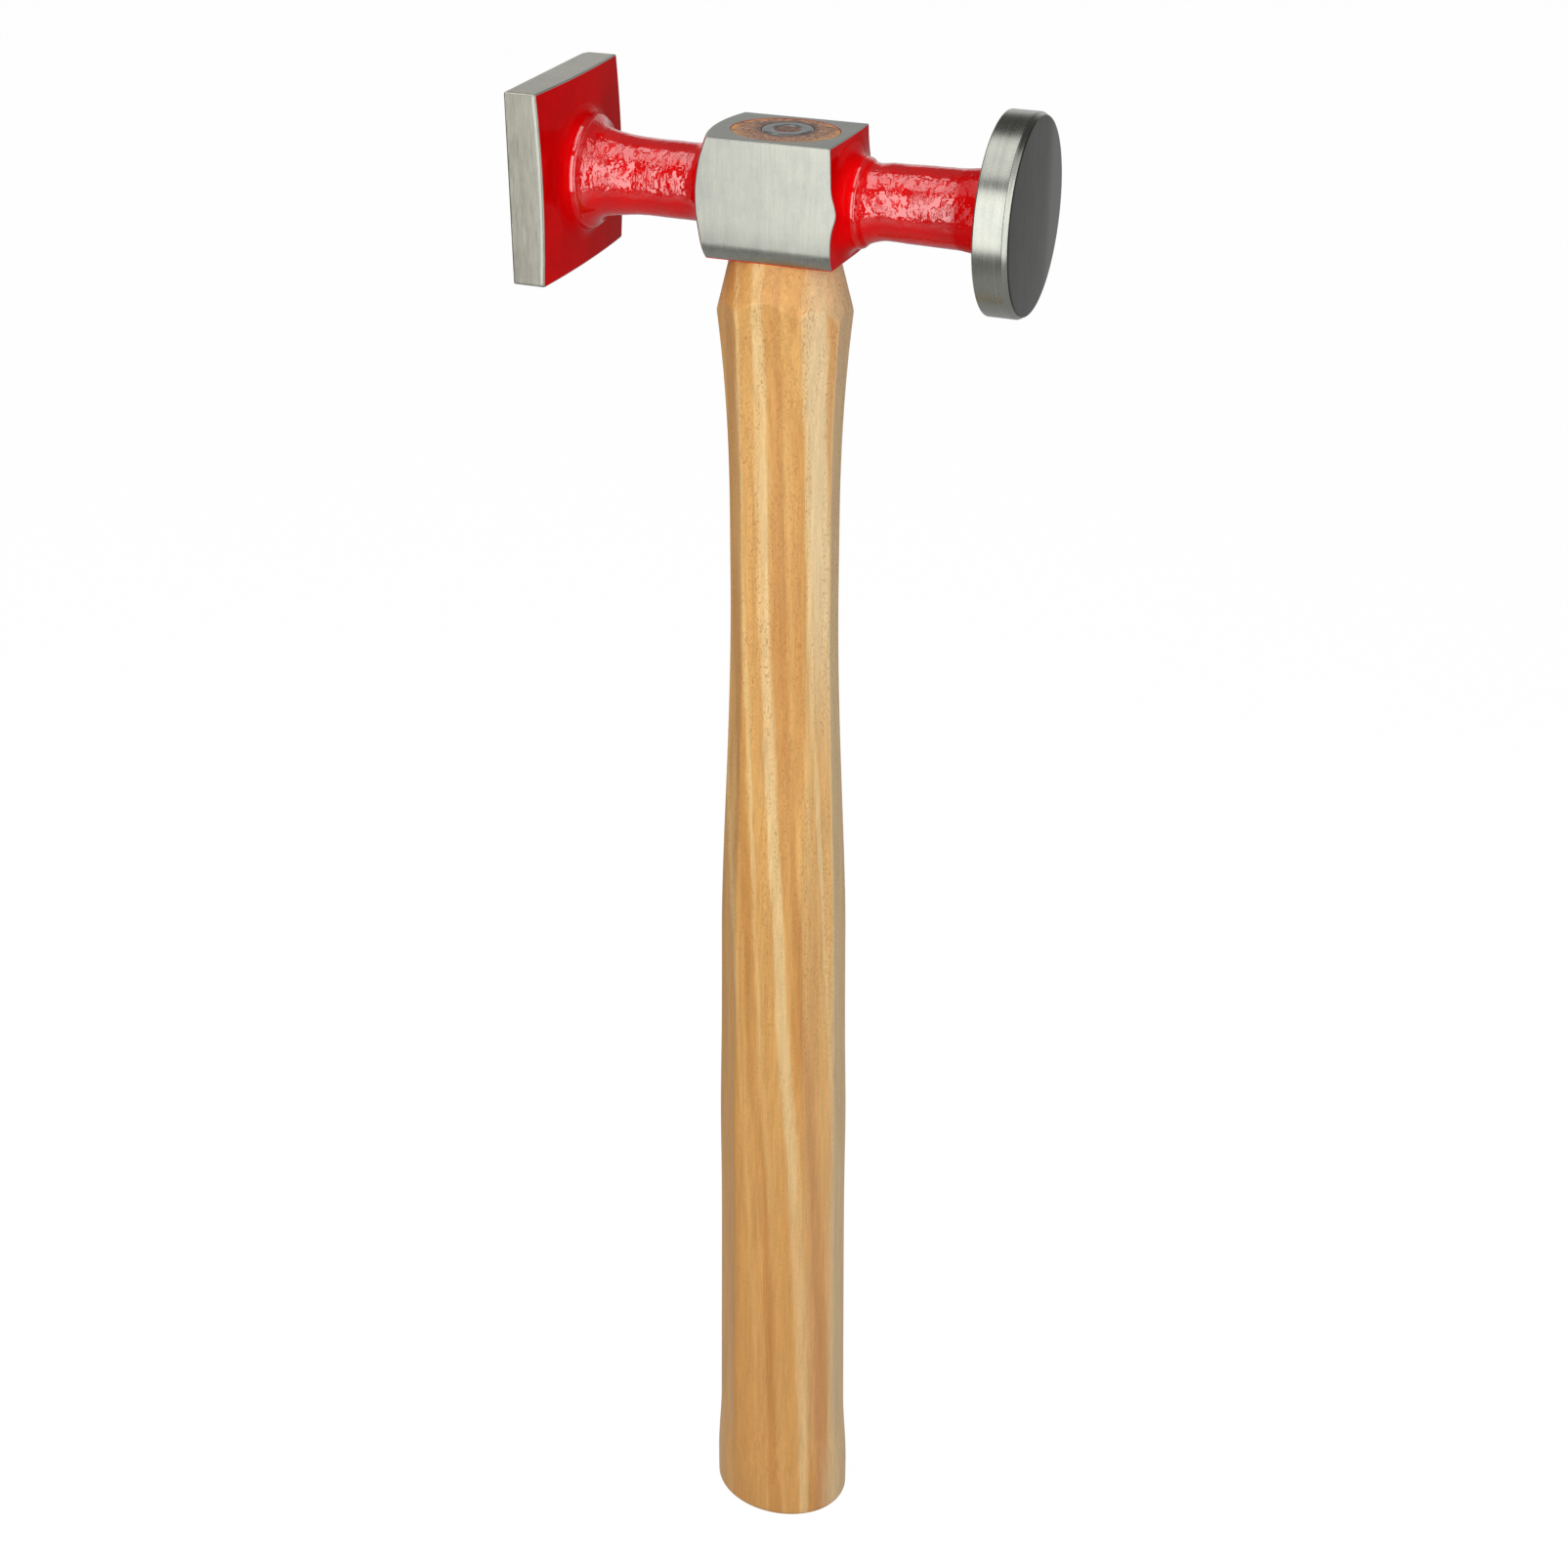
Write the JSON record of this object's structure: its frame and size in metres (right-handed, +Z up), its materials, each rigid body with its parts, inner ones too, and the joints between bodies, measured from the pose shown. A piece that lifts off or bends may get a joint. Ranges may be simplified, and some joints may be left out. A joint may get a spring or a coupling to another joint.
{
  "type": "body hammer",
  "caption": "Body hammer for working sheet metal: forged steel head with a square face and a round face, faceted ash handle held in the eye by a ring wedge.",
  "frame": {"origin": "centre of the flat end of the handle's butt, which is also the bottom centre of the whole hammer's box", "axes": "+Z up the handle towards the head, +X along the head towards the round face, +Y towards the back cheek"},
  "size_m": [0.1054, 0.04, 0.375],
  "materials": {
    "head_steel": "glossy red lacquer on the forged skin, with brushed bare steel on the ground cheeks, top, rims and faces",
    "handle_ash": "ash with a thin satin varnish",
    "wedge_steel": "dull grey, ground flush"
  },
  "bodies": {
    "root": {"hammer_head": "head_steel", "handle": "handle_ash", "ring_wedge": "wedge_steel"}
  },
  "joints": []
}
